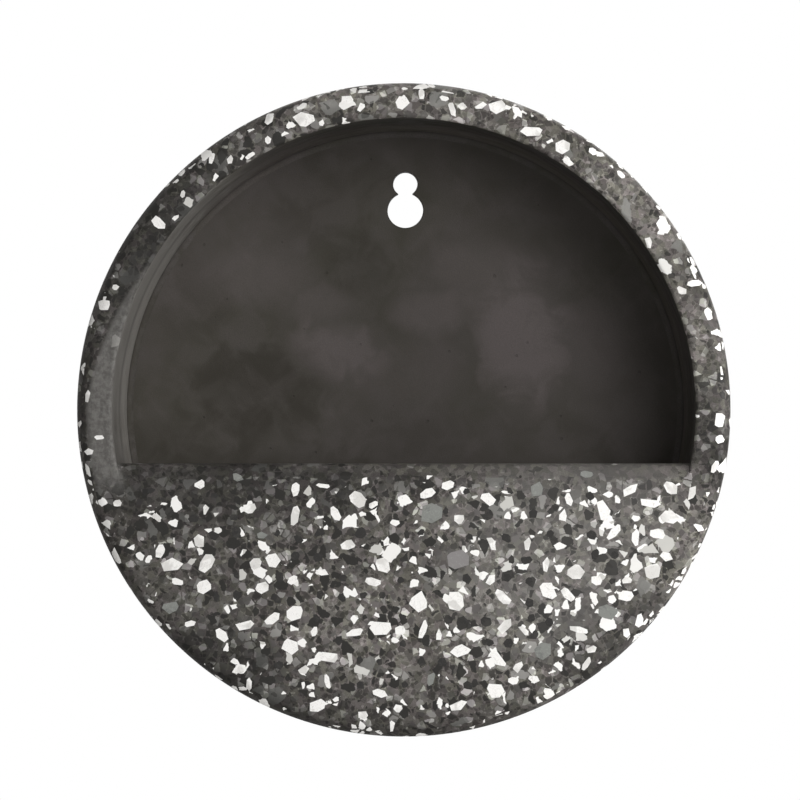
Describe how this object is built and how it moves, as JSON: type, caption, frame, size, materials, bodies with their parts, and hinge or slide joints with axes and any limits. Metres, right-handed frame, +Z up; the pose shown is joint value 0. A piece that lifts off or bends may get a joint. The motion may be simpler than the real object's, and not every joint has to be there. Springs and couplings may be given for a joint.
{
  "type": "wall planter",
  "caption": "Drum-shaped terrazzo wall planter with a half-moon front opening, a soil pocket and a keyhole hanger.",
  "frame": {"origin": "on the axis of the keyhole's narrow upper end, at the rear face of the back plate", "axes": "+Z up, +Y out of the rear face into the wall, the open front looks along -Y, +X to the viewer's right"},
  "size_m": [0.2, 0.08, 0.2],
  "materials": {
    "terrazzo": "satin",
    "cast_concrete": "matte",
    "mortar": "matte",
    "marble": "satin",
    "greenstone": "satin",
    "basalt": "satin"
  },
  "bodies": {
    "root": {"drum_wall": "terrazzo", "back_plate": "cast_concrete", "front_wall": "terrazzo", "rear_fillet": "mortar", "front_fillet": "mortar", "marble_front": "marble", "marble_rim": "marble", "greenstone_front": "greenstone", "basalt_front": "basalt"}
  },
  "joints": []
}
